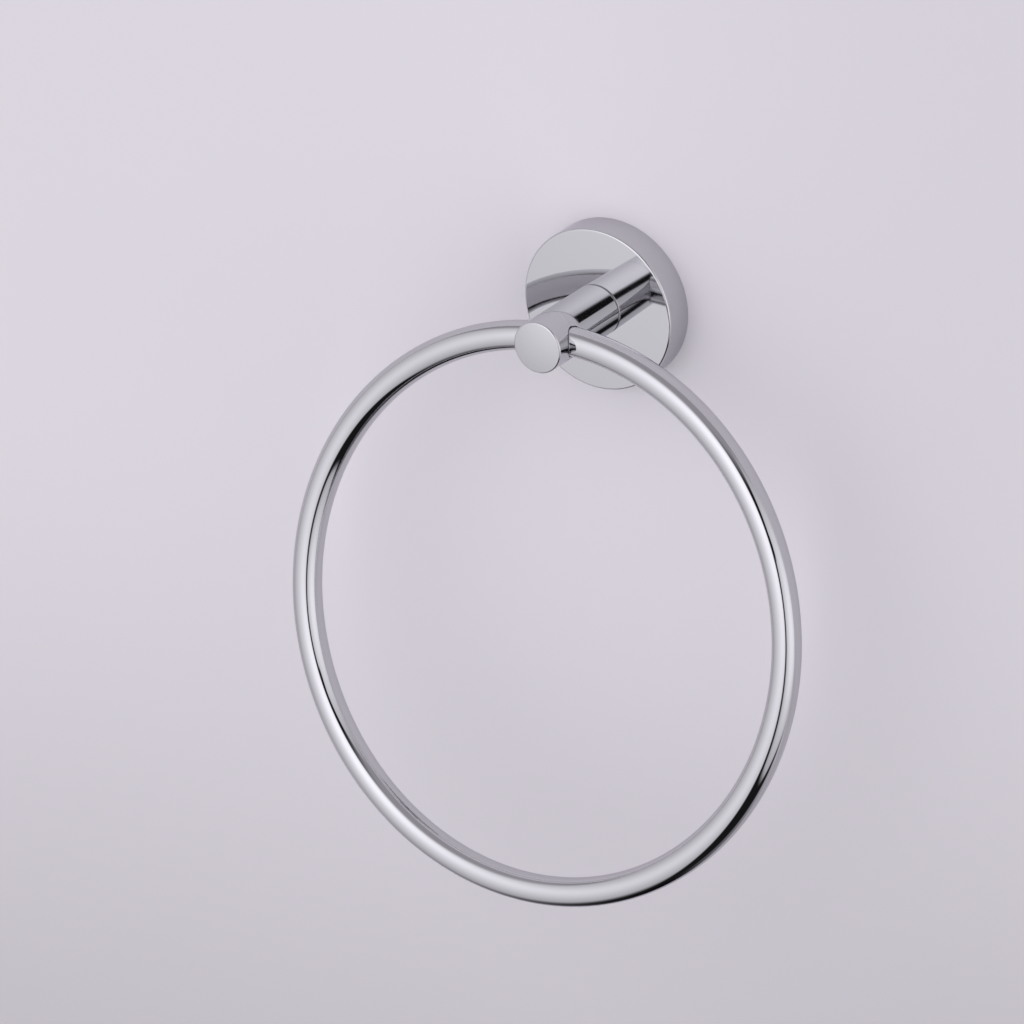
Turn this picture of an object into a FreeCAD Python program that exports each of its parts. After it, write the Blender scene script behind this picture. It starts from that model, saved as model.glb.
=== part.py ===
"""Towel ring for a wall: a bent bar clamped between a post and its cap, on a round rosette.

Frame of the finished part: the wall is the plane y = 0, +Y goes into the wall, +X to the
right and +Z up. The origin is the middle of the rosette, on the wall.

Every turned piece is drawn standing on the wall: its own +Z is the distance out from the
wall and its own +Y is up. One turn about X brings it into the frame of the part.
"""
import math
import os

import FreeCAD, Part
import Sketcher

Vector = FreeCAD.Vector

# Driving dimensions, in millimetres and degrees
SIZES = (
    ("ring_radius", 89.3, "centre line of the bent bar"),
    ("bar_radius", 4.75, "round bar of the ring"),
    ("ring_tilt", 10.6, "degrees that the ring leans out from the wall"),
    ("ring_end_gap", 5.4, "between the two cut ends of the bar, inside the clamp"),
    ("bar_distance", 36.7, "wall to the top of the bar's centre line, where post and cap meet"),
    ("post_radius", 8.6, "post and cap"),
    ("post_edge", 0.6, "rounding where the post stands on the rosette"),
    ("bar_play", 0.01, "clamp channel around the bent bar"),
    ("mouth_edge", 0.25, "rounding of the channel's mouths"),
    ("cap_length", 9.8, "parting plane to the edge of the cap's face"),
    ("cap_crown", 0.7, "rise of the cap's face"),
    ("cap_edge", 0.7, "rounding of the cap's face"),
    ("rosette_radius", 27.1, "outside of the rosette"),
    ("rosette_depth", 10.8, "wall to the edge of the rosette's face"),
    ("rosette_crown", 0.5, "rise of the face from its edge to the post's seat"),
    ("rosette_edge", 0.8, "rounding of the rosette's face"),
    ("rosette_wall", 2.5, "side wall of the rosette"),
    ("rosette_face", 2.4, "thickness of the face at the post's seat"),
    ("spigot_wall", 0.7, "between the spigot and the locating pin"),
    ("spigot_play", 0.05, "hole in the rosette around the spigot"),
    ("spigot_gap", 0.3, "the spigot stops short, so that the washer holds the rosette"),
    ("screw_radius", 2.0, "shank of the tie screw"),
    ("screw_play", 0.25, "clearance holes around the tie screw"),
    ("thread_play", 0.05, "tapped holes around their screws"),
    ("screw_end_wall", 1.6, "cap left in front of its tapped hole"),
    ("screw_end_gap", 0.4, "end of the tie screw to the end of its hole"),
    ("head_radius", 3.5, "head of the tie screw"),
    ("head_height", 4.0, "head of the tie screw"),
    ("head_key", 3.0, "hexagon socket across its flats"),
    ("head_key_depth", 2.2, "depth of the hexagon socket"),
    ("washer_lap", 2.0, "flat washer beyond the spigot, behind the rosette's face"),
    ("washer_thick", 1.0, "flat washer"),
    ("spring_radius", 3.6, "spring washer"),
    ("spring_thick", 0.9, "spring washer"),
    ("spring_split", 12.0, "degrees of the split in the spring washer"),
    ("pin_radius", 1.0, "locating pin between rosette and post"),
    ("pin_play", 0.03, "holes around the locating pin"),
    ("pin_inset", 1.9, "side of the post to the axis of the pin"),
    ("pin_reach", 2.6, "pin in the post"),
    ("pin_seat", 1.4, "pin in the face of the rosette"),
    ("pin_end_gap", 0.2, "ends of the pin to the ends of its holes"),
    ("pin_chamfer", 0.2, "ends of the pin"),
    ("plate_play", 0.25, "rosette around the mounting plate"),
    ("plate_thick", 6.0, "mounting plate"),
    ("plate_undercut", 1.5, "the plate is smaller at the wall, which draws the rosette in"),
    ("plate_opening_play", 2.5, "opening in the plate around the flat washer"),
    ("plate_hole_offset", 16.0, "post's axis to each wall screw"),
    ("plate_hole_radius", 2.3, "clearance for a wall screw"),
    ("plate_sink_radius", 4.5, "counterbore for its head"),
    ("plate_sink_depth", 2.8, "counterbore for its head"),
    ("grub_radius", 2.0, "grub screw under the rosette"),
    ("grub_distance", 3.2, "wall to the axis of the grub screw"),
    ("grub_recess", 0.6, "grub screw below the rosette's side"),
    ("grub_tip_radius", 0.6, "flat of its cone point"),
    ("grub_seat_play", 0.03, "cone point to the plate"),
    ("grub_key", 2.0, "hexagon socket across its flats"),
    ("grub_key_depth", 1.2, "depth of the hexagon socket"),
)

SHEET_NAME = "Sizes"
PARTS_FOLDER = "parts"
QUARTER_TURN = 90
HALF_TURN = 180
FULL_TURN = 360
SEAM_TURN = 50
NEAR = 1e-4
H_AXIS, V_AXIS = -1, -2
START, END, CENTRE = 1, 2, 3


class Size:
    """A length that knows its number and the spreadsheet expression that gives it."""

    def __init__(self, value, text):
        self.value = value
        self.text = text

    def __neg__(self):
        return Size(-self.value, "(-%s)" % self.text)

    def __add__(self, other):
        return Size(self.value + other.value, "(%s + %s)" % (self.text, other.text))

    def __sub__(self, other):
        return Size(self.value - other.value, "(%s - %s)" % (self.text, other.text))

    def __mul__(self, other):
        return Size(self.value * other.value, "(%s * %s)" % (self.text, other.text))

    def __truediv__(self, other):
        return Size(self.value / other.value, "(%s / %s)" % (self.text, other.text))


ZERO = Size(0.0, "0")
HALF = Size(0.5, "0.5")


class Sizes:
    """The driving dimensions, and the places that follow from them."""

    def __init__(self, doc):
        sheet = doc.addObject("Spreadsheet::Sheet", SHEET_NAME)
        for row, (name, value, note) in enumerate(SIZES, start=1):
            sheet.set("A%d" % row, name)
            sheet.set("B%d" % row, str(value))
            sheet.set("C%d" % row, note)
            sheet.setAlias("B%d" % row, name)
            setattr(self, name, Size(value, "%s.%s" % (SHEET_NAME, name)))
        doc.recompute()
        self.place_front()
        self.place_fixings()

    def bend(self, across):
        """How far the bar has bent away from a straight line, at a distance from its top."""
        return across * across / (self.ring_radius + self.ring_radius)

    def place_front(self):
        """Heights above the wall of what is seen."""
        self.seat = self.rosette_depth + self.rosette_crown
        self.inner_face = self.seat - self.rosette_face
        self.cap_rim = self.bar_distance + self.cap_length
        self.channel_drop = self.bend(self.post_radius) * HALF
        self.channel_radius = self.bar_radius + self.channel_drop + self.bar_play

    def place_fixings(self):
        """Heights and radii of the screws, washers, pin and plate behind the rosette."""
        self.pin_offset = self.post_radius - self.pin_inset
        self.spigot_radius = self.pin_offset - self.pin_radius - self.spigot_wall
        self.washer_radius = self.spigot_radius + self.washer_lap
        self.plate_opening = self.washer_radius + self.plate_opening_play
        self.spigot_end = self.inner_face + self.spigot_gap
        self.screw_hole = self.screw_radius + self.screw_play
        self.washer_back = self.inner_face - self.washer_thick
        self.head_top = self.washer_back - self.spring_thick
        self.head_back = self.head_top - self.head_height
        self.thread_end = self.cap_rim - self.screw_end_wall
        self.screw_end = self.thread_end - self.screw_end_gap
        self.pin_back = self.seat - self.pin_seat
        self.pin_front = self.seat + self.pin_reach
        self.rosette_inside = self.rosette_radius - self.rosette_wall
        self.plate_radius = self.rosette_inside - self.plate_play
        self.plate_foot = self.plate_radius - self.plate_undercut
        slope = self.plate_undercut / self.plate_thick
        touched = self.plate_foot + slope * (self.grub_distance + self.grub_tip_radius)
        self.grub_seat = touched + self.grub_seat_play
        self.grub_end = self.rosette_radius - self.grub_recess


def origin_plane(body, role):
    """The plane of a body's own origin that has this role."""
    for feature in body.Origin.OriginFeatures:
        if feature.Role == role:
            return feature
    raise RuntimeError("no origin plane %s" % role)


def new_body(doc, label, turn=QUARTER_TURN):
    """A body whose own +Z is turned about X, a quarter turn of it pointing out of the wall."""
    body = doc.addObject("PartDesign::Body", label)
    body.Label = label
    body.Placement = FreeCAD.Placement(Vector(0, 0, 0), FreeCAD.Rotation(Vector(1, 0, 0), turn))
    return body


def new_sketch(body, name, role):
    """An empty sketch on one of the body's own planes."""
    sketch = body.newObject("Sketcher::SketchObject", name)
    sketch.AttachmentSupport = [(origin_plane(body, role), "")]
    sketch.MapMode = "FlatFace"
    sketch.Visibility = False
    return sketch


def bind(sketch, constraint, size):
    """Add a dimension to a sketch and tie it to the spreadsheet."""
    index = sketch.addConstraint(constraint)
    sketch.setExpression("Constraints[%d]" % index, size.text)


def fix_point(sketch, geometry, end, across, up):
    """Place one point of a sketch by its distances from the sketch's own axes."""
    for kind, size, axis in (("DistanceX", across, V_AXIS), ("DistanceY", up, H_AXIS)):
        if abs(size.value) < NEAR:
            sketch.addConstraint(Sketcher.Constraint("PointOnObject", geometry, end, axis))
        elif size.value > 0:
            ends = (H_AXIS, START, geometry, end)
            bind(sketch, Sketcher.Constraint(kind, *ends, size.value), size)
        else:
            ends = (geometry, end, H_AXIS, START)
            bind(sketch, Sketcher.Constraint(kind, *ends, -size.value), -size)


def add_circle(sketch, across, up, radius):
    """Add a circle whose centre and radius are tied to the spreadsheet."""
    circle = Part.Circle(Vector(across.value, up.value, 0), Vector(0, 0, 1), radius.value)
    index = sketch.addGeometry(circle, False)
    bind(sketch, Sketcher.Constraint("Radius", index, radius.value), radius)
    fix_point(sketch, index, CENTRE, across, up)


def add_line(sketch, here, there, construction=False):
    """Add a straight line between two corners, each a pair of sizes."""
    start = Vector(here[0].value, here[1].value, 0)
    stop = Vector(there[0].value, there[1].value, 0)
    return sketch.addGeometry(Part.LineSegment(start, stop), construction)


def add_arc(sketch, low, high):
    """Add a flat arc centred on the turning axis, from its outer corner to its inner one."""
    outer = Vector(low[0].value, low[1].value, 0)
    inner = Vector(high[0].value, high[1].value, 0)
    middle_up = (inner.Length ** 2 - outer.Length ** 2) / (2 * (inner.y - outer.y))
    middle = Vector(0, middle_up, 0)
    circle = Part.Circle(middle, Vector(0, 0, 1), (outer - middle).Length)
    across = Vector(1, 0, 0)
    first = (outer - middle).getAngle(across)
    last = (inner - middle).getAngle(across)
    index = sketch.addGeometry(Part.ArcOfCircle(circle, first, last), False)
    sketch.addConstraint(Sketcher.Constraint("PointOnObject", index, CENTRE, V_AXIS))


def turned(body, corners, arc_side=None, split=None):
    """A solid turned about the body's own Z from half its section.

    The side numbered arc_side is a flat arc. A split leaves that many degrees open.
    """
    sketch = new_sketch(body, "Section", "XZ_Plane")
    count = len(corners)
    for side, here in enumerate(corners):
        there = corners[(side + 1) % count]
        if side == arc_side:
            add_arc(sketch, here, there)
        else:
            add_line(sketch, here, there)
    for side, here in enumerate(corners):
        following = (side + 1) % count
        sketch.addConstraint(Sketcher.Constraint("Coincident", side, END, following, START))
        fix_point(sketch, side, START, *here)
    solid = body.newObject("PartDesign::Revolution", "Turned")
    solid.Profile = sketch
    solid.ReferenceAxis = (sketch, ["V_Axis"])
    if split is not None:
        solid.setExpression("Angle", "%d - %s" % (FULL_TURN, split.text))
    body.Document.recompute()


def attach(tool, body, role, across=ZERO, up=ZERO, out=ZERO):
    """Put a cutting tool on an origin plane, moved along the plane's own directions.

    The tool is turned about itself, which keeps its seam off the flat where post and cap meet.
    """
    tool.AttachmentSupport = [(origin_plane(body, role), "")]
    tool.MapMode = "FlatFace"
    seam_turn = FreeCAD.Rotation(Vector(0, 0, 1), SEAM_TURN)
    tool.AttachmentOffset = FreeCAD.Placement(Vector(0, 0, 0), seam_turn)
    for letter, size in (("x", across), ("y", up), ("z", out)):
        tool.setExpression(".AttachmentOffset.Base.%s" % letter, size.text)


def drilled(body, name, radius, start, stop, role="XY_Plane", across=ZERO, up=ZERO):
    """A round hole square to an origin plane, between two distances from that plane."""
    hole = body.newObject("PartDesign::SubtractiveCylinder", name)
    attach(hole, body, role, across, up, start)
    hole.setExpression("Radius", radius.text)
    hole.setExpression("Height", (stop - start).text)
    body.Document.recompute()


def socket(body, flats, start, stop):
    """A hexagon socket on the turning axis, between two distances along it."""
    hexagon = body.newObject("PartDesign::SubtractivePrism", "Socket")
    attach(hexagon, body, "XY_Plane", out=start)
    hexagon.Polygon = 6
    hexagon.setExpression("Circumradius", "%s / 2 / cos(30 deg)" % flats.text)
    hexagon.setExpression("Height", (stop - start).text)
    body.Document.recompute()


def rounded(body, name, radius, picks):
    """Round every edge of the body whose points the function picks."""
    base = body.Tip
    names = []
    for number, edge in enumerate(base.Shape.Edges, start=1):
        is_apex = edge.Length < NEAR
        if not is_apex and all(picks(point) for point in edge.discretize(Number=7)):
            names.append("Edge%d" % number)
    if not names:
        raise RuntimeError("%s of %s finds no edge" % (name, body.Label))
    fillet = body.newObject("PartDesign::Fillet", name)
    fillet.Base = (base, names)
    fillet.setExpression("Radius", radius.text)
    body.Document.recompute()


def on_rim(radius, up):
    """A function that tells whether a point lies on a rim about the turning axis."""
    def picks(point):
        away = math.hypot(point.x, point.y)
        return abs(away - radius.value) < NEAR and abs(point.z - up.value) < NEAR
    return picks


def on_mouth(size):
    """A function that tells whether a point lies on a mouth of the bar's channel."""
    def picks(point):
        away = math.hypot(point.x, point.y)
        around = math.hypot(point.y + size.channel_drop.value, point.z - size.bar_distance.value)
        on_channel = abs(around - size.channel_radius.value) < NEAR
        return on_channel and abs(away - size.post_radius.value) < NEAR
    return picks


def bar_channel(body, size):
    """Cut the channel of the bar across post or cap, lowered to share out the bar's bend."""
    outside = size.post_radius + size.bar_radius
    drilled(body, "Channel", size.channel_radius, -outside, outside, "YZ_Plane",
            across=-size.channel_drop, up=size.bar_distance)
    rounded(body, "MouthEdges", size.mouth_edge, on_mouth(size))


def make_ring(doc, size):
    """The bent bar: a round section turned about the ring's axis, open inside the clamp."""
    body = new_body(doc, "ring")
    body.setExpression(".Placement.Base.y", (-size.bar_distance).text)
    lean = "%d - %s" % (QUARTER_TURN, size.ring_tilt.text)
    body.setExpression(".Placement.Rotation.Angle", lean)
    sketch = new_sketch(body, "BarSection", "YZ_Plane")
    centre = (-size.ring_radius, ZERO)
    beyond = (-size.ring_radius, size.bar_radius)
    add_circle(sketch, -size.ring_radius - size.ring_radius, ZERO, size.bar_radius)
    axis = add_line(sketch, centre, beyond, construction=True)
    fix_point(sketch, axis, START, *centre)
    fix_point(sketch, axis, END, *beyond)
    bent = body.newObject("PartDesign::Revolution", "Bent")
    bent.Profile = sketch
    bent.ReferenceAxis = (sketch, ["Axis0"])
    bent.Midplane = True
    opening = (size.ring_end_gap / size.ring_radius).text
    bent.setExpression("Angle", "%d - %s * %d / pi" % (FULL_TURN, opening, HALF_TURN))
    doc.recompute()
    return body


def make_cap(doc, size):
    """The front half of the clamp, with the tapped hole that the tie screw pulls on."""
    body = new_body(doc, "cap")
    turned(body, ((ZERO, size.bar_distance), (size.post_radius, size.bar_distance),
                  (size.post_radius, size.cap_rim), (ZERO, size.cap_rim + size.cap_crown)),
           arc_side=2)
    bar_channel(body, size)
    rounded(body, "FaceEdge", size.cap_edge, on_rim(size.post_radius, size.cap_rim))
    tapped = size.screw_radius + size.thread_play
    drilled(body, "TappedHole", tapped, size.bar_distance, size.thread_end)
    return body


def make_post(doc, size):
    """The rear half of the clamp and the stem that stands on the rosette."""
    body = new_body(doc, "post")
    turned(body, ((size.screw_hole, size.spigot_end), (size.spigot_radius, size.spigot_end),
                  (size.spigot_radius, size.seat), (size.post_radius, size.seat),
                  (size.post_radius, size.bar_distance), (size.screw_hole, size.bar_distance)))
    bar_channel(body, size)
    rounded(body, "BaseEdge", size.post_edge, on_rim(size.post_radius, size.seat))
    hole = size.pin_radius + size.pin_play
    drilled(body, "PinHole", hole, size.seat, size.pin_front + size.pin_end_gap, up=size.pin_offset)
    return body


def make_rosette(doc, size):
    """The cup that covers the plate: a flat seat, a slightly raised face and a side wall."""
    body = new_body(doc, "rosette")
    hole = size.spigot_radius + size.spigot_play
    turned(body, ((hole, size.inner_face), (size.rosette_inside, size.inner_face),
                  (size.rosette_inside, ZERO), (size.rosette_radius, ZERO),
                  (size.rosette_radius, size.rosette_depth), (size.post_radius, size.seat),
                  (hole, size.seat)),
           arc_side=4)
    face_rim = on_rim(size.rosette_radius, size.rosette_depth)
    rounded(body, "FaceEdge", size.rosette_edge, face_rim)
    pin_hole = size.pin_radius + size.pin_play
    drilled(body, "PinHole", pin_hole, size.pin_back - size.pin_end_gap, size.seat, up=size.pin_offset)
    tapped = size.grub_radius + size.thread_play
    drilled(body, "GrubHole", tapped, size.plate_radius, size.rosette_radius + size.rosette_wall,
            "XZ_Plane", up=size.grub_distance)
    return body


def make_tie_screw(doc, size):
    """The long screw from behind the rosette, through the post, into the cap."""
    body = new_body(doc, "tie_screw")
    turned(body, ((ZERO, size.head_back), (size.head_radius, size.head_back),
                  (size.head_radius, size.head_top), (size.screw_radius, size.head_top),
                  (size.screw_radius, size.screw_end), (ZERO, size.screw_end)))
    socket(body, size.head_key, size.head_back, size.head_back + size.head_key_depth)
    return body


def make_washer(doc, label, size, radius, back, front, split=None):
    """A washer on the tie screw, between two heights above the wall."""
    body = new_body(doc, label)
    turned(body, ((size.screw_hole, back), (radius, back), (radius, front), (size.screw_hole, front)),
           split=split)
    return body


def make_locating_pin(doc, size):
    """The pin that keeps the post from turning on the rosette."""
    body = new_body(doc, "locating_pin")
    body.setExpression(".Placement.Base.z", size.pin_offset.text)
    neck = size.pin_radius - size.pin_chamfer
    turned(body, ((ZERO, size.pin_back), (neck, size.pin_back),
                  (size.pin_radius, size.pin_back + size.pin_chamfer),
                  (size.pin_radius, size.pin_front - size.pin_chamfer),
                  (neck, size.pin_front), (ZERO, size.pin_front)))
    return body


def make_mounting_plate(doc, size):
    """The plate that is screwed to the wall, with an undercut edge for the grub screw."""
    body = new_body(doc, "mounting_plate")
    turned(body, ((size.plate_opening, ZERO), (size.plate_foot, ZERO),
                  (size.plate_radius, size.plate_thick), (size.plate_opening, size.plate_thick)))
    sink = size.plate_thick - size.plate_sink_depth
    for side, across in (("Right", size.plate_hole_offset), ("Left", -size.plate_hole_offset)):
        drilled(body, "Hole" + side, size.plate_hole_radius, ZERO, size.plate_thick, across=across)
        drilled(body, "Sink" + side, size.plate_sink_radius, sink, size.plate_thick, across=across)
    return body


def make_grub_screw(doc, size):
    """The grub screw under the rosette; its own +Z points down."""
    body = new_body(doc, "grub_screw", turn=HALF_TURN)
    body.setExpression(".Placement.Base.y", (-size.grub_distance).text)
    shoulder = size.grub_seat + size.grub_radius - size.grub_tip_radius
    turned(body, ((ZERO, size.grub_seat), (size.grub_tip_radius, size.grub_seat),
                  (size.grub_radius, shoulder), (size.grub_radius, size.grub_end),
                  (ZERO, size.grub_end)))
    socket(body, size.grub_key, size.grub_end - size.grub_key_depth, size.grub_end)
    return body


def make_pieces(doc, size):
    """Every piece of the towel ring, from the ring in to the wall."""
    return (
        make_ring(doc, size),
        make_cap(doc, size),
        make_post(doc, size),
        make_rosette(doc, size),
        make_tie_screw(doc, size),
        make_washer(doc, "flat_washer", size, size.washer_radius, size.washer_back, size.inner_face),
        make_washer(doc, "spring_washer", size, size.spring_radius, size.head_top, size.washer_back,
                    split=size.spring_split),
        make_locating_pin(doc, size),
        make_mounting_plate(doc, size),
        make_grub_screw(doc, size),
    )


def check_steps(body):
    """Make sure that each cut took material away and left one solid."""
    last = None
    for step in body.Group:
        if not step.isDerivedFrom("PartDesign::Feature"):
            continue
        volume = step.Shape.Volume
        if last is not None and volume > last - NEAR:
            raise RuntimeError("%s of %s cuts nothing" % (step.Name, body.Label))
        last = volume


def check_pieces(doc, pieces):
    """Stop if any object failed or any piece isn't one sound solid."""
    for item in doc.Objects:
        if "Invalid" in item.State or "Error" in item.State:
            raise RuntimeError("%s failed: %s" % (item.Name, item.State))
    for body in pieces:
        check_steps(body)
        shape = body.Shape
        if shape.isNull() or not shape.isValid() or len(shape.Solids) != 1:
            raise RuntimeError("%s is not one sound solid" % body.Label)


def main():
    """Build the document and write one file for each piece."""
    doc = FreeCAD.newDocument("TowelRing")
    size = Sizes(doc)
    pieces = make_pieces(doc, size)
    doc.recompute()
    check_pieces(doc, pieces)
    os.makedirs(PARTS_FOLDER, exist_ok=True)
    for body in pieces:
        body.Shape.exportStep(os.path.join(PARTS_FOLDER, body.Label + ".step"))


main()
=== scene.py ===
"""Looks of the towel ring: polished chrome in front, plated steel and cast zinc behind.

The frame is that of the CAD: the wall is the plane y = 0, +X to the right and +Z up, in metres.
Pieces of the clamp and the rosette are worked out as heights above the wall, like turned parts.
"""

import math

import bmesh
import bpy
import numpy as np
from mathutils import Matrix, Vector


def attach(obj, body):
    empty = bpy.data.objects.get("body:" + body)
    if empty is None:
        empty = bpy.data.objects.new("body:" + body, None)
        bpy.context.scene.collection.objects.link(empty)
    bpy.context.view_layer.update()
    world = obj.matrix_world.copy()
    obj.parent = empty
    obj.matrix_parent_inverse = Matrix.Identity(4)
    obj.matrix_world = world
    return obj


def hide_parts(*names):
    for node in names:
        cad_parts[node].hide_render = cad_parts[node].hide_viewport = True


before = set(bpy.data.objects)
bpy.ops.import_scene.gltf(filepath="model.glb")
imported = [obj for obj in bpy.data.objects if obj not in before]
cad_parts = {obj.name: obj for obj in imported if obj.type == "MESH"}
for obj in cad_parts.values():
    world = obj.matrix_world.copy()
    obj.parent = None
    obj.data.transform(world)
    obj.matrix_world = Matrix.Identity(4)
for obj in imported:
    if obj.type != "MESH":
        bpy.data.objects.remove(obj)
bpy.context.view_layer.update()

bl_info = {
    "name": "Towel Ring",
    "version": (1, 0, 0),
    "blender": (4, 5, 0),
    "location": "View3D > Sidebar > Towel Ring",
    "description": "Chrome ring, clamp and rosette of a towel ring, with its fixings and a wall",
    "category": "Add Mesh",
}

MM = 0.001
WELD = 5e-8  # corners closer than this, in metres, are one corner
FACING = "facing"  # attribute that says which way the real surface faces at a corner

# Into how many steps the round forms are divided
BAR_STEPS_ALONG, BAR_STEPS_AROUND = 960, 96
CLAMP_STEPS = 64  # on each of the clamp's four stretches: two mouths and two seams
ROSETTE_STEPS = 288
HOLE_STEPS = 48


# Sizes and colours

def length(name, description, default):
    """A length in metres whose default is given in millimetres."""
    return bpy.props.FloatProperty(name=name, description=description, default=default * MM,
                                   min=0.0, unit="LENGTH", subtype="DISTANCE", precision=5)


def share_of_one(name, description, default):
    """A plain number from 0 to 1."""
    return bpy.props.FloatProperty(name=name, description=description, default=default,
                                   min=0.0, max=1.0)


def colour(name, description, default):
    """A colour without alpha."""
    return bpy.props.FloatVectorProperty(name=name, description=description, default=default,
                                         size=3, min=0.0, max=1.0, subtype="COLOR")


class TowelRingSizes(bpy.types.PropertyGroup):
    """Sizes of the pieces that are seen."""

    ring_radius: length("Ring radius", "Centre line of the bent bar", 89.3)
    bar_radius: length("Bar radius", "Round bar of the ring", 4.74)
    ring_lean: bpy.props.FloatProperty(name="Lean", description="How far the ring leans out",
                                       default=math.radians(10.6), subtype="ANGLE")
    ring_gap: length("Ring gap", "Between the cut ends of the bar, inside the clamp", 5.4)
    bar_height: length("Bar height", "Wall to the top of the bar's centre line", 36.7)
    post_radius: length("Post radius", "Post and cap", 8.6)
    channel_radius: length("Channel radius", "Channel around the bar", 4.9671)
    channel_drop: length("Channel drop", "Channel below the top of the bar", 0.2071)
    post_play: length("Post play", "Post's half of the channel, which is bent like the bar", 0.06)
    mouth_edge: length("Mouth edge", "Rounding of the channel's mouths", 0.25)
    seam_edge: length("Seam edge", "Rounding of post and cap where they meet", 0.1)
    cap_length: length("Cap length", "Parting plane to the edge of the cap's face", 9.8)
    cap_crown: length("Cap crown", "Rise of the cap's face", 0.7)
    cap_edge: length("Cap edge", "Rounding of the cap's face", 0.7)
    post_edge: length("Post edge", "Rounding where the post stands on the rosette", 0.6)
    seat_height: length("Seat", "Wall to the post's seat on the rosette", 11.3)
    spigot_radius: length("Spigot", "Spigot of the post", 5.0)
    spigot_height: length("Spigot end", "Wall to the end of the spigot", 9.2)
    screw_hole: length("Screw hole", "Clearance hole for the tie screw", 2.25)
    tapped_hole: length("Tapped hole", "Tapped holes of the tie screw and the grub screw", 2.05)
    tapped_end: length("Tapped end", "Wall to the end of the cap's tapped hole", 44.9)
    pin_hole: length("Pin hole", "Holes for the locating pin", 1.03)
    pin_offset: length("Pin offset", "Post's axis to the locating pin", 6.7)
    rosette_radius: length("Rosette radius", "Outside of the rosette", 27.09)
    rosette_height: length("Rosette height", "Wall to the edge of the rosette's face", 10.8)
    rosette_edge: length("Rosette edge", "Rounding of the rosette's face", 0.8)
    rosette_foot: length("Rosette foot", "Rounding of the rosette's rim at the wall", 0.15)
    rosette_inside: length("Rosette inside", "Inside of the rosette's side wall", 24.6)
    inner_face: length("Inner face", "Wall to the inside of the rosette's face", 8.9)
    grub_height: length("Grub height", "Wall to the axis of the grub screw", 3.2)


class TowelRingFinishes(bpy.types.PropertyGroup):
    """Colours and finishes."""

    chrome: colour("Chrome", "Polished chrome", (0.600, 0.598, 0.612))
    chrome_edge: colour("Chrome edge", "Tint of chrome seen at a flat angle", (0.85, 0.84, 0.87))
    chrome_gloss: share_of_one("Chrome roughness", "Roughness of clean chrome", 0.030)
    steel: colour("Plated steel", "Screws, washers and pin", (0.62, 0.61, 0.58))
    zinc: colour("Cast zinc", "Mounting plate", (0.50, 0.51, 0.53))
    wall: colour("Wall", "Plain wall behind the ring", (0.865, 0.840, 0.870))
    floor: colour("Floor", "Plain floor far below", (0.74, 0.73, 0.75))


# Shader maths

class Board:
    """The nodes of one material or of the surroundings."""

    def __init__(self, tree):
        self.tree = tree
        tree.nodes.clear()

    def node(self, kind, settings=None, **values):
        """Add a node, set it up, and give its sockets numbers or links."""
        node = self.tree.nodes.new(kind)
        for name, value in (settings or {}).items():
            setattr(node, name, value)
        self.give(node, **values)
        return node

    def give(self, node, **values):
        """Give a node's sockets numbers or links.

        A socket's key is its name with underscores, or in_ and its number.
        """
        for key, value in values.items():
            place = int(key[3:]) if key.startswith("in_") else key.replace("_", " ")
            self.feed(node.inputs[place], value)

    def feed(self, socket, value):
        """Link a term or an output to a socket, or set the socket's own value."""
        if isinstance(value, Term):
            value = value.socket
        if isinstance(value, bpy.types.NodeSocket):
            self.tree.links.new(value, socket)
        else:
            socket.default_value = value

    def term(self, socket):
        """A number to write sums with."""
        return Term(self, socket)

    def parts(self, place):
        """The three numbers of a vector."""
        split = self.node("ShaderNodeSeparateXYZ", in_0=place)
        return [self.term(socket) for socket in split.outputs]

    def maths(self, operation, *values):
        """One step of arithmetic."""
        inputs = {"in_%d" % place: value for place, value in enumerate(values)}
        node = self.node("ShaderNodeMath", {"operation": operation}, **inputs)
        return Term(self, node.outputs[0])

    def ramp(self, value, low, high):
        """0 below low, 1 above high, and a soft step between."""
        node = self.node("ShaderNodeMapRange", {"interpolation_type": "SMOOTHSTEP"},
                         Value=value, From_Min=low, From_Max=high)
        return Term(self, node.outputs[0])

    def mix(self, factor, first, second):
        """A colour between two others."""
        node = self.node("ShaderNodeMix", {"data_type": "RGBA"}, in_0=factor, in_6=first,
                         in_7=second)
        return node.outputs[2]


class Term:
    """A number inside a shader, with Python's own signs for its arithmetic."""

    def __init__(self, board, socket):
        self.board = board
        self.socket = socket

    def __add__(self, other):
        return self.board.maths("ADD", self, other)

    def __sub__(self, other):
        return self.board.maths("SUBTRACT", self, other)

    def __rsub__(self, other):
        return self.board.maths("SUBTRACT", other, self)

    def __mul__(self, other):
        return self.board.maths("MULTIPLY", self, other)


def new_material(name, tint):
    """A material with its board, its shader and its place in object coordinates."""
    material = bpy.data.materials.new(name)
    material.use_nodes = True
    material.diffuse_color = (*tint, 1.0)
    board = Board(material.node_tree)
    place = board.node("ShaderNodeTexCoord").outputs["Object"]
    shader = board.node("ShaderNodeBsdfPrincipled")
    board.node("ShaderNodeOutputMaterial", Surface=shader.outputs[0])
    return material, board, place, shader


def shade(tint, share=1.0):
    """A tint made darker or lighter by a share, with its alpha."""
    return (*(min(1.0, part * share) for part in tint), 1.0)


def clouds(board, place, scale, detail=2.0, roughness=0.5):
    """Soft noise between about 0.2 and 0.8."""
    node = board.node("ShaderNodeTexNoise", {"noise_dimensions": "3D"}, Vector=place, Scale=scale,
                      Detail=detail, Roughness=roughness)
    return board.term(node.outputs[0])


def bumped(board, shader, height, distance):
    """Let a height tilt the shader's surface, where a height of 1 stands out by the distance."""
    bump = board.node("ShaderNodeBump", Height=height, Distance=distance, Strength=1.0)
    board.give(shader, Normal=bump.outputs[0])


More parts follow.
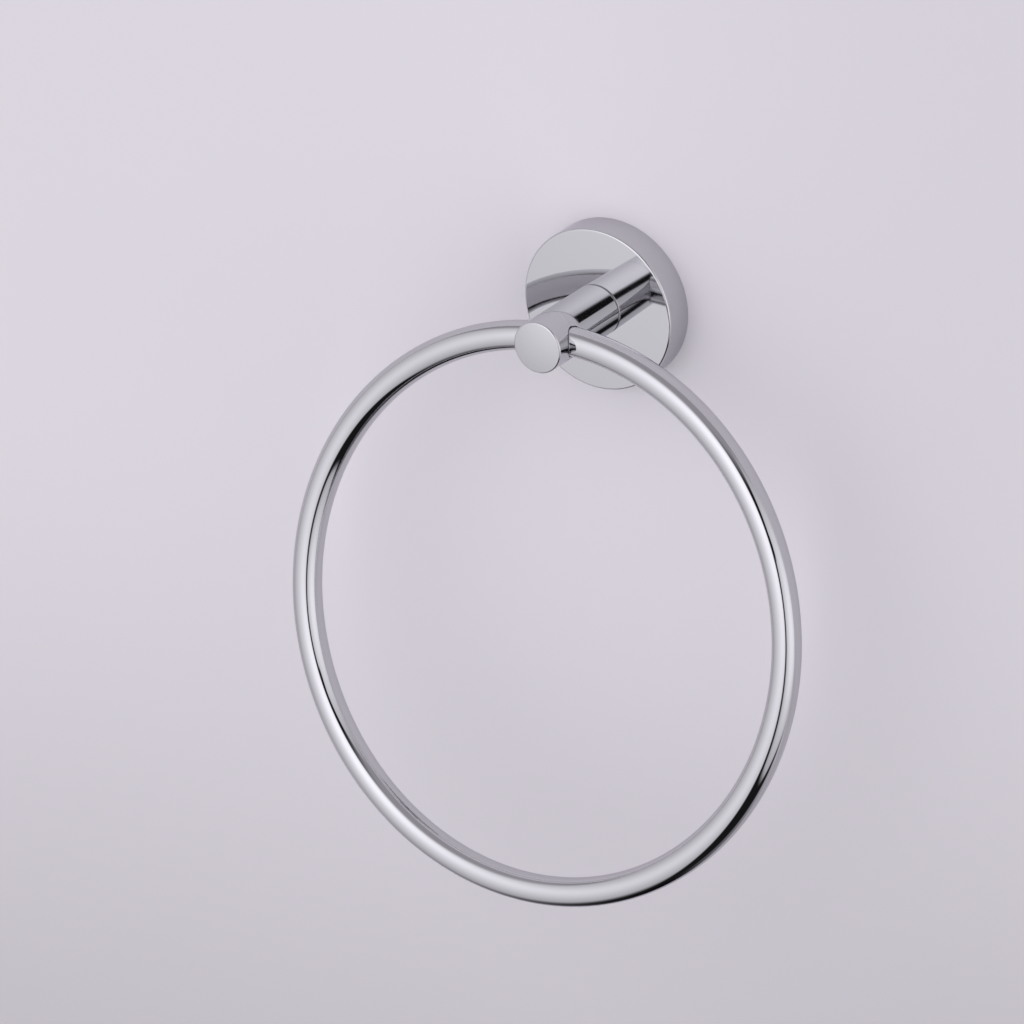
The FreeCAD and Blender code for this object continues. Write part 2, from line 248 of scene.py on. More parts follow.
def polished_chrome(finish):
    """Bright chrome over hand-polished brass: faint smears and a trace of polishing waves."""
    material, board, place, shader = new_material("polished_chrome", finish.chrome)
    smears = board.ramp(clouds(board, place, scale=60.0, detail=3.0), 0.45, 0.75)
    grain = clouds(board, place, scale=900.0)
    waves = clouds(board, place, scale=260.0, detail=1.0)
    film = board.mix(smears * 0.25, shade(finish.chrome), shade(finish.chrome, 0.97))
    board.give(shader, Base_Color=film, Metallic=1.0, Specular_Tint=shade(finish.chrome_edge),
               Roughness=smears * 0.022 + grain * 0.014 + finish.chrome_gloss)
    bumped(board, shader, waves, distance=1.2e-6)
    return material


def plated_steel(finish):
    """Zinc-plated steel of the screws, washers and pin, with turning marks."""
    material, board, place, shader = new_material("plated_steel", finish.steel)
    patches = board.ramp(clouds(board, place, scale=420.0, detail=3.0), 0.35, 0.7)
    turning = board.node("ShaderNodeTexWave", {"wave_type": "RINGS", "rings_direction": "Y"},
                         Vector=place, Scale=1500.0, Distortion=1.5, Detail=1.0)
    marks = board.term(turning.outputs[1])
    tint = board.mix(patches, shade(finish.steel), shade(finish.steel, 0.86))
    board.give(shader, Base_Color=tint, Metallic=1.0,
               Roughness=patches * 0.10 + marks * 0.06 + 0.24)
    bumped(board, shader, marks + patches, distance=6e-6)
    return material


def cast_zinc(finish):
    """Cast zinc of the mounting plate: a dull skin with fine grain and flow marks."""
    material, board, place, shader = new_material("cast_zinc", finish.zinc)
    flow = board.ramp(clouds(board, place, scale=130.0, detail=4.0, roughness=0.6), 0.3, 0.7)
    grain = clouds(board, place, scale=2600.0, detail=3.0, roughness=0.6)
    tint = board.mix(flow, shade(finish.zinc), shade(finish.zinc, 1.18))
    board.give(shader, Base_Color=tint, Metallic=0.9,
               Roughness=flow * 0.12 + grain * 0.12 + 0.34)
    bumped(board, shader, grain + flow, distance=2e-5)
    return material


def get_material(recipe):
    """A finish that several pieces share, made when it is first asked for."""
    made = bpy.data.materials.get(recipe.__name__)
    return made or recipe(bpy.context.scene.towel_ring_finishes)


# Turned pieces

class Skin:
    """Sheets of faces whose corners know which way the real surface faces."""

    def __init__(self):
        self.points, self.facings, self.faces = [], [], []
        self.count = 0

    def sheet(self, points, facings):
        """Add a grid of points and the direction that the surface faces at each."""
        points, facings = np.asarray(points, float), np.asarray(facings, float)
        rows, columns = points.shape[:2]
        corner = np.arange(rows * columns).reshape(rows, columns)
        quads = np.stack([corner[:-1, :-1], corner[1:, :-1], corner[1:, 1:], corner[:-1, 1:]], -1)
        quads = quads.reshape(-1, 4)
        flat, facing = points.reshape(-1, 3), facings.reshape(-1, 3)
        across = flat[quads[:, 2]] - flat[quads[:, 0]]
        along = flat[quads[:, 3]] - flat[quads[:, 1]]
        agrees = (np.cross(across, along) * facing[quads].sum(1)).sum()
        self.add(flat, facing, quads if agrees > 0 else quads[:, ::-1])

    def polygon(self, points, facing):
        """Add one flat face with many corners, turned to the side it faces."""
        points = np.asarray(points, float)
        middle = points.mean(0)
        area = np.cross(points - middle, np.roll(points, -1, 0) - middle).sum(0)
        if area @ np.asarray(facing, float) < 0:
            points = points[::-1]
        self.add(points, np.tile(facing, (len(points), 1)), [np.arange(len(points))])

    def add(self, points, facings, faces):
        """Keep points and the faces between them."""
        self.points.append(points)
        self.facings.append(facings)
        self.faces += [tuple(int(c) + self.count for c in face) for face in faces]
        self.count += len(points)

    def mesh(self, name):
        """One welded mesh, with the facing of each corner as an attribute."""
        points, facings = np.concatenate(self.points), np.concatenate(self.facings)
        mesh = bpy.data.meshes.new(name)
        mesh.from_pydata(points.tolist(), [], self.faces)
        mesh.polygons.foreach_set("use_smooth", [True] * len(mesh.polygons))
        corners = np.concatenate([np.array(face) for face in self.faces])
        layer = mesh.attributes.new(FACING, "FLOAT_VECTOR", "CORNER")
        layer.data.foreach_set("vector", facings[corners].astype(np.float32).ravel())
        weld(mesh)
        return mesh


def weld(mesh):
    """Join corners that lie on each other, and drop faces without an area."""
    work = bmesh.new()
    work.from_mesh(mesh)
    bmesh.ops.remove_doubles(work, verts=work.verts, dist=WELD)
    bmesh.ops.dissolve_degenerate(work, edges=work.edges, dist=WELD)
    work.to_mesh(mesh)
    work.free()


def out_of_wall(across, height, up):
    """A point in the frame, from its distance across, its height above the wall and its rise."""
    across, height, up = np.broadcast_arrays(across, height, up)
    return np.stack([across, -height, up], -1)


def arc(start, stop, steps):
    """Cosines and sines of evenly spaced angles, with a true zero where a cosine ends."""
    angle = np.linspace(start, stop, steps + 1)
    cos = np.cos(angle)
    cos[np.abs(cos) < 1e-12] = 0.0
    return cos, np.sin(angle)


def turn_profile(skin, angles, away, height, out, rise):
    """Turn one stretch of a profile about the post's axis.

    away and height place its points, out and rise are the parts of its facing.
    """
    cos, sin = np.cos(angles), np.sin(angles)
    stretch = np.broadcast_arrays(away, height, out, rise)
    away, height, out, rise = (np.atleast_1d(part)[:, None] for part in stretch)
    points = out_of_wall(away * cos, height + 0 * cos, away * sin)
    facings = out_of_wall(out * cos, rise + 0 * cos, out * sin)
    skin.sheet(points, facings)


def turn_arc(skin, angles, away, height, radius, start, stop, steps):
    """Turn an arc about the post's axis. away and height place its middle."""
    cos, sin = arc(start, stop, steps)
    turn_profile(skin, angles, away + radius * cos, height + radius * sin, cos, sin)


def crowned_edge(radius, crown_centre, crown_radius, edge):
    """Where a rounding touches both the side wall and a crowned face.

    Gives the middle of the rounding and the angle at which it meets the face.
    """
    middle_away = radius - edge
    middle_height = crown_centre + math.sqrt((crown_radius - edge) ** 2 - middle_away ** 2)
    meets = math.atan2(middle_height - crown_centre, middle_away)
    return middle_away, middle_height, meets


def half_clamp(size, side, channel, drop, far_profile):
    """Cap (side 1) or post (side -1) as a skin, with its half of the bar's channel.

    drop gives how far the channel lies below the bar's top at a distance across. far_profile turns
    what lies beyond the side wall and gives the height where the side wall ends.
    """
    skin, steps = Skin(), CLAMP_STEPS
    rounds, taper_steps, wall_rows, channel_rows, edge_steps = 6, 6.0, 7, 5, 9
    mirror = np.array([-1.0, 1.0, 1.0])
    post, edge = size.post_radius, size.mouth_edge

    # Middles of the mouths' rounding, found by going back and forth between drop and distance
    around = np.linspace(-math.pi / 2, math.pi / 2, steps + 1)
    mouth_rise = (channel + edge) * np.cos(around)
    mouth_across = np.full(steps + 1, post)
    for _ in range(rounds):
        mouth_up = (channel + edge) * np.sin(around) - drop(mouth_across)
        mouth_angle = np.arcsin(mouth_up / (post - edge))
        mouth_across = (post - edge) * np.cos(mouth_angle)

    # The seams above and below the channel, whose rounding runs out towards the mouths
    upper_seam = np.linspace(mouth_angle[-1], math.pi - mouth_angle[-1], steps + 1)
    lower_seam = np.linspace(math.pi - mouth_angle[0], 2 * math.pi + mouth_angle[0], steps + 1)
    to_end = np.minimum(np.arange(steps + 1), np.arange(steps, -1, -1))
    taper = np.minimum(1.0, to_end / taper_steps)
    seam = size.seam_edge * taper * taper * (3 - 2 * taper)

    def lift(rise):
        return size.bar_height + side * rise

    # Side wall, from the mouths and the seam to where the far profile starts
    angles = np.concatenate([mouth_angle, upper_seam, math.pi - mouth_angle[::-1], lower_seam])
    starts = np.concatenate([mouth_rise, seam, mouth_rise[::-1], seam])
    reach = side * (far_profile(skin, angles) - size.bar_height)
    share = np.linspace(0.0, 1.0, wall_rows)[:, None]
    rise = starts * (1 - share) + reach * share
    cos, sin = np.cos(angles), np.sin(angles)
    points = out_of_wall(post * cos, lift(rise), post * sin)
    skin.sheet(points, out_of_wall(cos + 0 * rise, 0.0, sin + 0 * rise))

    # Rounding of each mouth, as a ball would roll between side and channel, and the channel.
    # The left mouth is made last, and the seams go on from its rounding and its height
    inner = out_of_wall(0 * around, -side * np.cos(around), -np.sin(around))
    run = np.linspace(1.0, 0.0, channel_rows)
    part = np.linspace(0.0, 1.0, edge_steps + 1)[None, :, None]
    for hand in (1, -1):
        outer = out_of_wall(hand * np.cos(mouth_angle), 0.0, np.sin(mouth_angle))
        middle = out_of_wall(hand * mouth_across, lift(mouth_rise), mouth_up)
        spread = np.arccos(np.clip((inner * outer).sum(1), -1, 1))[:, None, None]
        facing = (np.sin((1 - part) * spread) * inner[:, None]
                  + np.sin(part * spread) * outer[:, None]) / np.sin(spread)
        rounding = middle[:, None] + edge * facing
        skin.sheet(rounding, facing)
        across = hand * mouth_across[:, None] * run
        up = channel * np.sin(around)[:, None] - drop(across)
        points = out_of_wall(across, lift(channel * np.cos(around))[:, None], up)
        skin.sheet(points, np.broadcast_to(inner[:, None], points.shape))

    # Rounding along the seam, and the flat where cap and post meet
    out_part, down_part = (along[:, None] for along in arc(0.0, math.pi / 2, edge_steps))
    for end, angle in ((-1, upper_seam), (0, lower_seam)):
        cos, sin = np.cos(angle), np.sin(angle)
        away = post - seam + seam * out_part
        points = out_of_wall(away * cos, lift(seam - seam * down_part), away * sin)
        skin.sheet(points, out_of_wall(out_part * cos, -side * down_part + 0 * cos, out_part * sin))
        left_lip = rounding[end]
        right_lip = left_lip * mirror
        right_run = out_of_wall(mouth_across[end] * run, lift(0.0), up[end])
        left_run = right_run[::-1] * mirror
        rim = out_of_wall((post - seam) * cos, lift(0.0), (post - seam) * sin)
        if end == 0:
            rim = rim[::-1]
        loop = [right_lip[::-1], right_run[1:], left_run[1:-1], left_lip, rim[::-1][1:-1]]
        skin.polygon(np.concatenate(loop), (0.0, side, 0.0))
    return skin


def full_turn(steps):
    """Angles of a whole turn, with the first repeated at the end."""
    return np.linspace(0.0, 2 * math.pi, steps + 1)


def peg(name, radius, start, stop, direction=(0.0, -1.0, 0.0), middle=(0.0, 0.0, 0.0)):
    """A round cutter whose corners already face the way that the cut hole will."""
    skin = Skin()
    tilt = Vector((0.0, 0.0, 1.0)).rotation_difference(Vector(direction)).to_matrix()
    spin = full_turn(HOLE_STEPS)
    ring = np.stack([np.cos(spin), np.sin(spin), 0 * spin], -1) @ np.array(tilt).T
    axis, middle = np.array(direction), np.array(middle)
    low, high = middle + axis * start, middle + axis * stop
    side = np.stack([low + radius * ring, high + radius * ring])
    skin.sheet(side, np.stack([ring, ring]))
    skin.polygon(side[0][:-1], -axis)
    skin.polygon(side[1][:-1], axis)
    mesh = skin.mesh(name)
    layer = mesh.attributes[FACING].data
    values = np.empty(len(layer) * 3, np.float32)
    layer.foreach_get("vector", values)
    layer.foreach_set("vector", -values)
    return mesh


def new_object(name, mesh):
    """Put a mesh into the scene."""
    piece = bpy.data.objects.new(name, mesh)
    bpy.context.scene.collection.objects.link(piece)
    return piece


def settle(piece):
    """Replace a piece's modifiers by the mesh that they give."""
    bpy.context.view_layer.update()
    depsgraph = bpy.context.evaluated_depsgraph_get()
    mesh = bpy.data.meshes.new_from_object(piece.evaluated_get(depsgraph))
    old = piece.data
    piece.modifiers.clear()
    piece.data = mesh
    mesh.name = piece.name
    if old.users == 0 and isinstance(old, bpy.types.Mesh):
        bpy.data.meshes.remove(old)
    return mesh


def drill(piece, cutters):
    """Cut round holes into a piece."""
    tools = [new_object("cutter", mesh) for mesh in cutters]
    for tool in tools:
        cut = piece.modifiers.new("Hole", "BOOLEAN")
        cut.operation, cut.solver, cut.object = "DIFFERENCE", "EXACT", tool
    weld(settle(piece))
    for tool in tools:
        mesh = tool.data
        bpy.data.objects.remove(tool)
        bpy.data.meshes.remove(mesh)


def use_facings(mesh):
    """Shade each corner by the direction that it was given."""
    layer = mesh.attributes[FACING]
    facings = np.empty(len(layer.data) * 3, np.float32)
    layer.data.foreach_get("vector", facings)
    facings = facings.reshape(-1, 3)
    facings /= np.maximum(np.linalg.norm(facings, axis=1)[:, None], 1e-9)
    mesh.attributes.remove(layer)
    mesh.polygons.foreach_set("use_smooth", [True] * len(mesh.polygons))
    mesh.normals_split_custom_set(facings.tolist())
    mesh.update()


def finish_piece(piece, material, node):
    """Give a piece its finish, and put it in the place of its CAD node."""
    piece.data.materials.clear()
    piece.data.materials.append(material)
    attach(piece, "root")
    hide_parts(node)


class TOWELRING_OT_cap(bpy.types.Operator):
    """Make the cap, the front half of the clamp"""

    bl_idname = "towel_ring.make_cap"
    bl_label = "Cap"

    def execute(self, context):
        size = context.scene.towel_ring_sizes
        post, crown, edge = size.post_radius, size.cap_crown, size.cap_edge
        crown_radius = (post ** 2 + crown ** 2) / (2 * crown)
        crown_centre = size.bar_height + size.cap_length + crown - crown_radius
        away, height, meets = crowned_edge(post, crown_centre, crown_radius, edge)

        def face(skin, angles):
            turn_arc(skin, angles, away, height, edge, 0.0, meets, 14)
            turn_arc(skin, angles, 0.0, crown_centre, crown_radius, meets, math.pi / 2, 14)
            return height

        def drop(across):
            return size.channel_drop + 0 * across

        skin = half_clamp(size, 1, size.channel_radius, drop, face)
        piece = new_object("clamp_cap", skin.mesh("clamp_cap"))
        drill(piece, [peg("tapped", size.tapped_hole, size.bar_height, size.tapped_end)])
        use_facings(piece.data)
        finish_piece(piece, get_material(polished_chrome), "cap")
        return {"FINISHED"}


class TOWELRING_OT_post(bpy.types.Operator):
    """Make the post, the rear half of the clamp and its stem"""

    bl_idname = "towel_ring.make_post"
    bl_label = "Post"

    def execute(self, context):
        size = context.scene.towel_ring_sizes
        radius, edge, seat = size.post_radius, size.post_edge, size.seat_height
        spigot, spigot_end, pin_depth = size.spigot_radius, size.spigot_height, 2.8 * MM

        def foot(skin, angles):
            turn_arc(skin, angles, radius - edge, seat + edge, edge, 0.0, -math.pi / 2, 8)
            turn_profile(skin, angles, np.array([radius - edge, spigot]), seat, 0.0, -1.0)
            turn_profile(skin, angles, spigot, np.array([seat, spigot_end]), 1.0, 0.0)
            turn_profile(skin, angles, np.array([spigot, 0.0]), spigot_end, 0.0, -1.0)
            return seat + edge

        def drop(across):
            return across ** 2 / (2 * size.ring_radius)

        skin = half_clamp(size, -1, size.bar_radius + size.post_play, drop, foot)
        piece = new_object("stem_post", skin.mesh("stem_post"))
        hole = peg("screw", size.screw_hole, spigot_end - MM, size.bar_height)
        pin = peg("pin", size.pin_hole, seat - MM, seat + pin_depth,
                  middle=(0.0, 0.0, size.pin_offset))
        drill(piece, [hole, pin])
        use_facings(piece.data)
        finish_piece(piece, get_material(polished_chrome), "post")
        return {"FINISHED"}


class TOWELRING_OT_rosette(bpy.types.Operator):
    """Make the rosette, the cup that covers the mounting plate"""

    bl_idname = "towel_ring.make_rosette"
    bl_label = "Rosette"

    def execute(self, context):
        size = context.scene.towel_ring_sizes
        skin, angles = Skin(), full_turn(ROSETTE_STEPS)
        spigot_play, pin_depth = 0.05 * MM, 1.6 * MM
        radius, rim, edge = size.rosette_radius, size.rosette_height, size.rosette_edge
        foot, inside, inner = size.rosette_foot, size.rosette_inside, size.inner_face
        seat, post, hole = size.seat_height, size.post_radius, size.spigot_radius + spigot_play
        crown_centre = (post ** 2 + seat ** 2 - radius ** 2 - rim ** 2) / (2 * (seat - rim))
        crown_radius = math.hypot(radius, rim - crown_centre)
        away, height, meets = crowned_edge(radius, crown_centre, crown_radius, edge)
        at_seat = math.acos(post / crown_radius)
        turn_arc(skin, angles, radius - foot, foot, foot, -math.pi / 2, 0.0, 6)
        turn_profile(skin, angles, radius, np.linspace(foot, height, 9), 1.0, 0.0)
        turn_arc(skin, angles, away, height, edge, 0.0, meets, 16)
        turn_arc(skin, angles, 0.0, crown_centre, crown_radius, meets, at_seat, 28)
        turn_profile(skin, angles, np.array([post, hole]), seat, 0.0, 1.0)
        turn_profile(skin, angles, hole, np.array([seat, inner]), -1.0, 0.0)
        turn_profile(skin, angles, np.linspace(hole, inside, 6), inner, 0.0, -1.0)
        turn_profile(skin, angles, inside, np.linspace(inner, 0.0, 7), -1.0, 0.0)
        turn_profile(skin, angles, np.array([inside, radius - foot]), 0.0, 0.0, -1.0)
        piece = new_object("rosette_shell", skin.mesh("rosette_shell"))
        grub = peg("grub", size.tapped_hole, inside - MM, radius + MM, direction=(0.0, 0.0, -1.0),
                   middle=(0.0, -size.grub_height, 0.0))
        pin = peg("pin", size.pin_hole, seat - pin_depth, seat + MM,
                  middle=(0.0, 0.0, size.pin_offset))
        drill(piece, [grub, pin])
        use_facings(piece.data)
        finish_piece(piece, get_material(polished_chrome), "rosette")
        return {"FINISHED"}


# The ring

def ring_recipe():
    """Geometry nodes that bend a round bar into a ring, open at its top."""
    tree = bpy.data.node_groups.new("bent_bar", "GeometryNodeTree")
    sides = tree.interface
    sides.new_socket("Geometry", in_out="INPUT", socket_type="NodeSocketGeometry")
    sockets = {}
    for name, kind in (("Ring Radius", "Float"), ("Bar Radius", "Float"), ("Gap Angle", "Float"),
                       ("Lean", "Float"), ("Top", "Vector"), ("Steps Along", "Int"),
                       ("Steps Around", "Int"), ("Finish", "Material")):
        socket = sides.new_socket(name, in_out="INPUT", socket_type="NodeSocket" + kind)
        sockets[name] = socket.identifier
    sides.new_socket("Geometry", in_out="OUTPUT", socket_type="NodeSocketGeometry")
    board = Board(tree)
    given = board.node("NodeGroupInput").outputs

    half_gap = board.term(given["Gap Angle"]) * 0.5
    line = board.node("GeometryNodeCurveArc", {"mode": "RADIUS"}, Resolution=given["Steps Along"],
                      Radius=given["Ring Radius"], Start_Angle=half_gap + math.pi / 2,
                      Sweep_Angle=2 * math.pi - board.term(given["Gap Angle"]))
    section = board.node("GeometryNodeCurvePrimitiveCircle", {"mode": "RADIUS"},
                         Resolution=given["Steps Around"], Radius=given["Bar Radius"])
    bar = board.node("GeometryNodeCurveToMesh", Curve=line.outputs[0],
                     Profile_Curve=section.outputs[0], Fill_Caps=True)
    # The ring is drawn flat with its top at +Y. It is hung by its top and stood up, short of
    # upright by its lean
    drop = board.node("ShaderNodeCombineXYZ", Y=0 - board.term(given["Ring Radius"]))
    hung = board.node("GeometryNodeTransform", Geometry=bar.outputs[0], Translation=drop.outputs[0])
    stand = board.node("ShaderNodeCombineXYZ", X=math.pi / 2 - board.term(given["Lean"]))
    stood = board.node("GeometryNodeTransform", Geometry=hung.outputs[0], Rotation=stand.outputs[0],
                       Translation=given["Top"])
    smooth = board.node("GeometryNodeSetShadeSmooth", Geometry=stood.outputs[0], Shade_Smooth=True)
    real = board.node("GeometryNodeRealizeInstances", Geometry=smooth.outputs[0])
    dressed = board.node("GeometryNodeSetMaterial", Geometry=real.outputs[0],
                         Material=given["Finish"])
    output = board.node("NodeGroupOutput")
    board.feed(output.inputs[0], dressed.outputs[0])
    return tree, sockets


class TOWELRING_OT_ring(bpy.types.Operator):
    """Bend the round bar into the ring"""

    bl_idname = "towel_ring.make_ring"
    bl_label = "Ring"

    def execute(self, context):
        size = context.scene.towel_ring_sizes
        chrome = get_material(polished_chrome)
        tree, sockets = ring_recipe()
        piece = new_object("towel_ring", bpy.data.meshes.new("start"))
        bend = piece.modifiers.new("Bend", "NODES")
        bend.node_group = tree
        given = {"Ring Radius": size.ring_radius, "Bar Radius": size.bar_radius,
                 "Gap Angle": size.ring_gap / size.ring_radius, "Lean": size.ring_lean,
                 "Top": (0.0, -size.bar_height, 0.0), "Steps Along": BAR_STEPS_ALONG,
                 "Steps Around": BAR_STEPS_AROUND, "Finish": chrome}
        for name, value in given.items():
            bend[sockets[name]] = value
        settle(piece).set_sharp_from_angle(angle=math.radians(60))
        finish_piece(piece, chrome, "ring")
        return {"FINISHED"}


class TOWELRING_OT_fixings(bpy.types.Operator):
    """Finish the screws, washers, pin and mounting plate behind the rosette"""

    bl_idname = "towel_ring.finish_fixings"
    bl_label = "Fixings"

    def execute(self, context):
        steel, zinc = get_material(plated_steel), get_material(cast_zinc)
        finishes = {"tie_screw": steel, "flat_washer": steel, "spring_washer": steel,
                    "locating_pin": steel, "grub_screw": steel, "mounting_plate": zinc}
        for node, material in finishes.items():
            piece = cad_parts[node]
            piece.data.materials.clear()
            piece.data.materials.append(material)
        return {"FINISHED"}


# Stage, light and camera

# The camera as fitted to the photo's outlines. It is turned, raised and rolled by these angles in
# radians and looks at a point of the wall, where the scale holds
AZIMUTH, ELEVATION, ROLL = 0.5895360604, 0.3808662242, -0.0730501697
TARGET, DISTANCE = (-0.0449993192, 0.0, -0.0800451601), 4.2747113952
PIXELS_PER_METRE, PICTURE_WIDTH, SENSOR_WIDTH = 3126.6864768645, 1024, 36.0
NEAREST, FARTHEST = 0.1, 40.0


def make_camera():
    """Stand the camera where the photograph was taken from."""
    back = Vector((math.sin(AZIMUTH) * math.cos(ELEVATION),
                   -math.cos(AZIMUTH) * math.cos(ELEVATION), math.sin(ELEVATION)))
    level = (-back).cross(Vector((0.0, 0.0, 1.0))).normalized()
    upright = level.cross(-back)
    right = level * math.cos(ROLL) + upright * math.sin(ROLL)
    up = upright * math.cos(ROLL) - level * math.sin(ROLL)
    data = bpy.data.cameras.new("photo_camera")
    data.sensor_width = SENSOR_WIDTH
    data.lens = PIXELS_PER_METRE * DISTANCE / PICTURE_WIDTH * SENSOR_WIDTH
    data.clip_start, data.clip_end = NEAREST, FARTHEST
    camera = bpy.data.objects.new("photo_camera", data)
    bpy.context.scene.collection.objects.link(camera)
    turned = Matrix((right, up, back)).transposed().to_4x4()
    camera.matrix_world = Matrix.Translation(Vector(TARGET) + back * DISTANCE) @ turned
    bpy.context.scene.camera = camera


# The studio is a sphere of light far away, so directions describe it. A lamp ends at its edges.
# An edge has a direction, a softness and a third number, how far along its direction it lies: 0
# where it is left out, 1 straight ahead. The lamp is on the near side of all its edges. The side
# lamp's last edge is a small dark disc. A glow has a direction, a tightness and a strength.
FRONT_EDGES = (((1.0, 0.5187, 0.1006), 0.07),
               ((0.715, 1.3197, 1.0), 0.186, -0.012),
               ((1.0, 0.3724, -0.19), 0.06),
               ((0.0, 0.25, -1.0), 0.14, 0.79))
FRONT_GLOWS = (((0.1075, -0.938, 0.4517), 6.44, 0.409),
               ((-0.2892, -0.8606, 0.1465), 0.816, 0.586))
SIDE_EDGES = (((-1.7373, -1.0, 0.0), 0.08),
              ((-1.0249, -0.0624, -1.0), 0.05, 0.078),
              ((-1.0, -0.5126, 0.4939), 0.03),
              ((-0.1447, 0.1844, -0.2145), 0.04),
              ((0.566, -0.745, 0.362), 0.0012, 0.998))
SIDE_GLOWS = (((0.9239, -0.3824, 0.0137), 2.65, 0.757),)

# Brightness apart from the lamps, and between which heights (up, from -1 to 1) it sets in
ROOM_LIGHT, CEILING_LIGHT, CEILING_BAND = 0.007, 0.232, (0.55, 0.85)
WALL_LIGHT, WALL_BAND = 0.407, (-1.0, -0.5)
WALL_GAIN, WALL_GAIN_BAND = 0.14, (-0.1, 0.2)  # the wall is lit further down on its right
WALL_START = (-0.12, 0.12)  # where the room gives way to the wall, from front to back

LAMP_TINT = (1.020, 1.0, 1.060)
ROOM_TINT = (1.045, 1.0, 1.105)
BACKDROP = (0.66, 0.64, 0.69, 1.0)
CHROME_SHARE = 0.60  # what chrome gives back, so that the numbers above are tones in the chrome


def make_surroundings():
    """Soft studio light: a large soft lamp in front, one at the side, and a dark floor below."""
    world = bpy.data.worlds.new("studio")
    bpy.context.scene.world = world
    world.use_nodes = True
    board = Board(world.node_tree)
    place = board.node("ShaderNodeTexCoord").outputs["Generated"]
    across, deep, up = board.parts(place)

    def along(direction):
        """How far the view runs along a direction, from -1 to 1."""
        node = board.node("ShaderNodeVectorMath", {"operation": "DOT_PRODUCT"}, in_0=place,
                          in_1=Vector(direction).normalized())
        return board.term(node.outputs["Value"])

    def lamp(edges, glows):
        """Where a lamp is seen, and how bright it is there."""
        mask = 1.0
        for direction, soft, *beyond in edges:
            past = beyond[0] if beyond else 0.0
            mask = (1 - board.ramp(along(direction), past - soft, past + soft)) * mask
        light = 0.0
        for direction, tight, strength in glows:
            light = board.maths("EXPONENT", (along(direction) - 1) * tight) * strength + light
        return mask, light

    front, front_light = lamp(FRONT_EDGES, FRONT_GLOWS)
    side, side_light = lamp(SIDE_EDGES, SIDE_GLOWS)
    side = side * (1 - front)
    lamps = front * front_light + side * side_light
    room = board.ramp(up, *CEILING_BAND) * CEILING_LIGHT + ROOM_LIGHT
    room = room * (1 - front) * (1 - side)
    lit_up = board.ramp(across, *WALL_GAIN_BAND) * WALL_GAIN + up
    wall = board.ramp(lit_up, *WALL_BAND) * WALL_LIGHT
    behind = board.ramp(deep, *WALL_START)
    scale = 1 / CHROME_SHARE
    lamp_part = board.node("ShaderNodeVectorMath", {"operation": "SCALE"}, in_0=LAMP_TINT,
                           Scale=lamps * (1 - behind) * scale)
    room_part = board.node("ShaderNodeVectorMath", {"operation": "SCALE"}, in_0=ROOM_TINT,
                           Scale=(room * (1 - behind) + wall * behind) * scale)
    light = board.node("ShaderNodeVectorMath", {"operation": "ADD"}, in_0=lamp_part.outputs[0],
                       in_1=room_part.outputs[0])
    tent = board.node("ShaderNodeBackground", Color=light.outputs[0])
    plain = board.node("ShaderNodeBackground", Color=BACKDROP)
    seen = board.node("ShaderNodeLightPath").outputs["Is Camera Ray"]
    both = board.node("ShaderNodeMixShader", in_0=seen, in_1=tent.outputs[0], in_2=plain.outputs[0])
    board.node("ShaderNodeOutputWorld", Surface=both.outputs[0])


def plane(name, corners, material):
    """A flat stage piece."""
    mesh = bpy.data.meshes.new(name)
    mesh.from_pydata(corners, [], [tuple(range(len(corners)))])
    piece = new_object(name, mesh)
    mesh.materials.append(material)
    return piece


def wall_paint(finish):
    """Plain pale paint, seen from its front only, with painted shade: darker towards the bottom and
    the right.
    """
    material, board, place, shader = new_material("wall_paint", finish.wall)
    mottle = clouds(board, place, scale=9.0, detail=4.0, roughness=0.6)
    across, _, up = board.parts(place)
    # Painted shade: darker towards the bottom, and slightly darker on the right as a painted ring
    # shadow
    painted_shade = board.ramp(up * -1, 0.05, 0.36) + board.ramp(across, -0.04, 0.15) * 0.22
    tint = board.mix(painted_shade + mottle * 0.04, shade(finish.wall), shade(finish.wall, 0.75))
    board.give(shader, Base_Color=tint, Roughness=0.9, Specular_IOR_Level=0.0)
    backs = board.node("ShaderNodeNewGeometry").outputs["Backfacing"]
    clear = board.node("ShaderNodeBsdfTransparent")
    sided = board.node("ShaderNodeMixShader", in_0=backs, in_1=shader.outputs[0],
                       in_2=clear.outputs[0])
    output = next(node for node in board.tree.nodes if node.type == "OUTPUT_MATERIAL")
    board.give(output, Surface=sided.outputs[0])
    return material


def floor_paint(finish):
    """Plain pale floor."""
    material, board, place, shader = new_material("floor_paint", finish.floor)
    mottle = clouds(board, place, scale=6.0, detail=3.0)
    tint = board.mix(mottle, shade(finish.floor), shade(finish.floor, 0.97))
    board.give(shader, Base_Color=tint, Roughness=0.8)
    return material


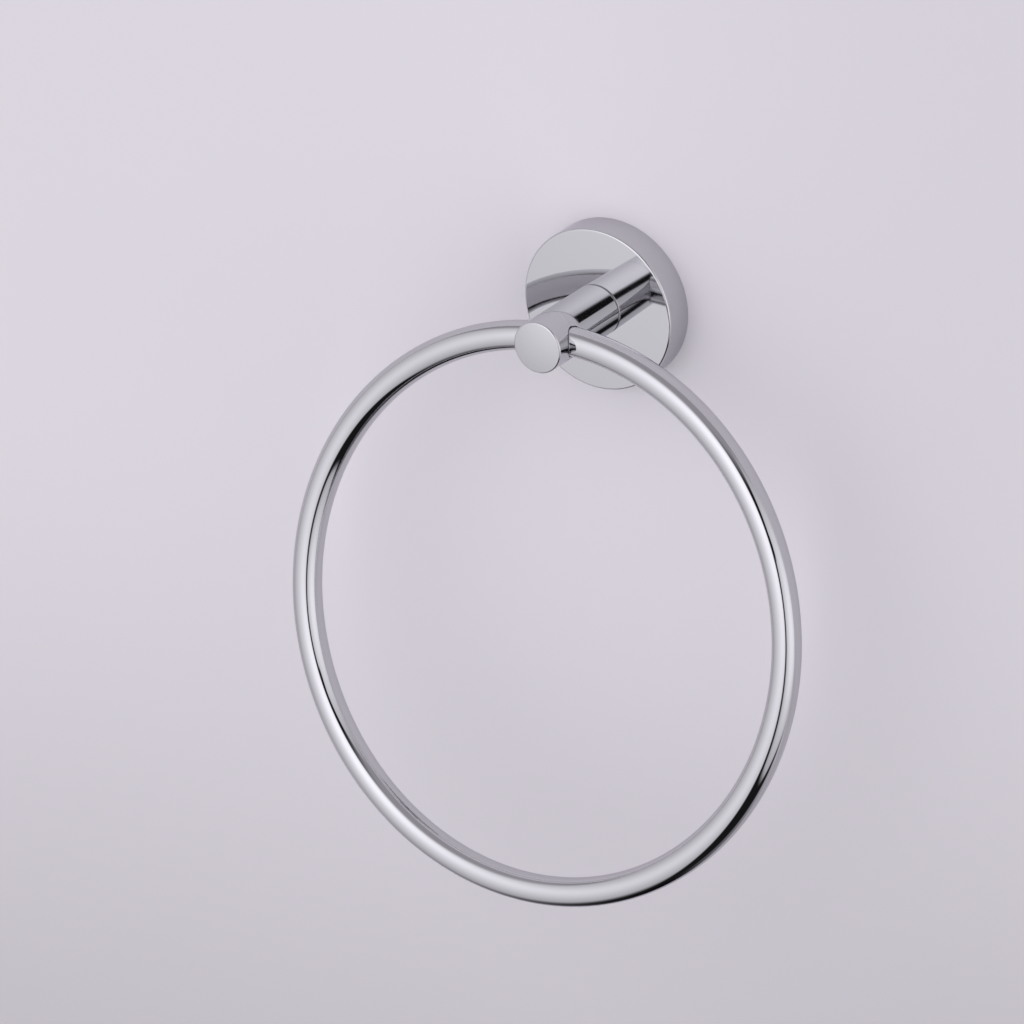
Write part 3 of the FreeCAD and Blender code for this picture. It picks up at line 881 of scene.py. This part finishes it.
class TOWELRING_OT_stage(bpy.types.Operator):
    """Set up the wall, the floor, the light and the camera"""

    bl_idname = "towel_ring.make_stage"
    bl_label = "Stage"

    def execute(self, context):
        finish = context.scene.towel_ring_finishes
        wide, deep, top, seam, bottom = 1.4, 2.0, 1.0, -0.32, -0.62
        paint = wall_paint(finish)

        def wall_part(name, low, high):
            """The wall between two heights."""
            return plane(name, [(-wide, 0.0, low), (wide, 0.0, low), (wide, 0.0, high),
                                (-wide, 0.0, high)], paint)

        wall, foot = wall_part("wall", seam, top), wall_part("wall_foot", bottom, seam)
        floor = plane("floor", [(-wide, -deep, bottom), (wide, -deep, bottom),
                                (wide, deep, bottom), (-wide, deep, bottom)], floor_paint(finish))
        # Chrome mirrors only the wall near the ring, and further down the studio's own wall light
        foot.visible_glossy = floor.visible_glossy = False
        for piece in (wall, foot, floor):
            piece.visible_diffuse = False
            piece.visible_shadow = False
        make_surroundings()
        make_camera()
        context.scene.view_settings.view_transform = "Standard"
        return {"FINISHED"}


class TOWELRING_PT_panel(bpy.types.Panel):
    """Lists the pieces of the towel ring and their sizes"""

    bl_idname = "TOWELRING_PT_panel"
    bl_label = "Towel Ring"
    bl_space_type = "VIEW_3D"
    bl_region_type = "UI"
    bl_category = "Towel Ring"

    def draw(self, context):
        layout = self.layout
        for operator in OPERATORS:
            layout.operator(operator.bl_idname)
        for group in (context.scene.towel_ring_sizes, context.scene.towel_ring_finishes):
            box = layout.box()
            for name in group.bl_rna.properties.keys():
                if name not in ("rna_type", "name"):
                    box.prop(group, name)


OPERATORS = (TOWELRING_OT_ring, TOWELRING_OT_cap, TOWELRING_OT_post, TOWELRING_OT_rosette,
             TOWELRING_OT_fixings, TOWELRING_OT_stage)
CLASSES = (TowelRingSizes, TowelRingFinishes, *OPERATORS, TOWELRING_PT_panel)


def register():
    for item in CLASSES:
        bpy.utils.register_class(item)
    bpy.types.Scene.towel_ring_sizes = bpy.props.PointerProperty(type=TowelRingSizes)
    bpy.types.Scene.towel_ring_finishes = bpy.props.PointerProperty(type=TowelRingFinishes)


def unregister():
    del bpy.types.Scene.towel_ring_finishes
    del bpy.types.Scene.towel_ring_sizes
    for item in reversed(CLASSES):
        bpy.utils.unregister_class(item)


def main():
    """Make every piece in order."""
    register()
    steps = bpy.ops.towel_ring
    for step in (steps.make_ring, steps.make_cap, steps.make_post, steps.make_rosette,
                 steps.finish_fixings, steps.make_stage):
        step()


if __name__ == "__main__":
    main()
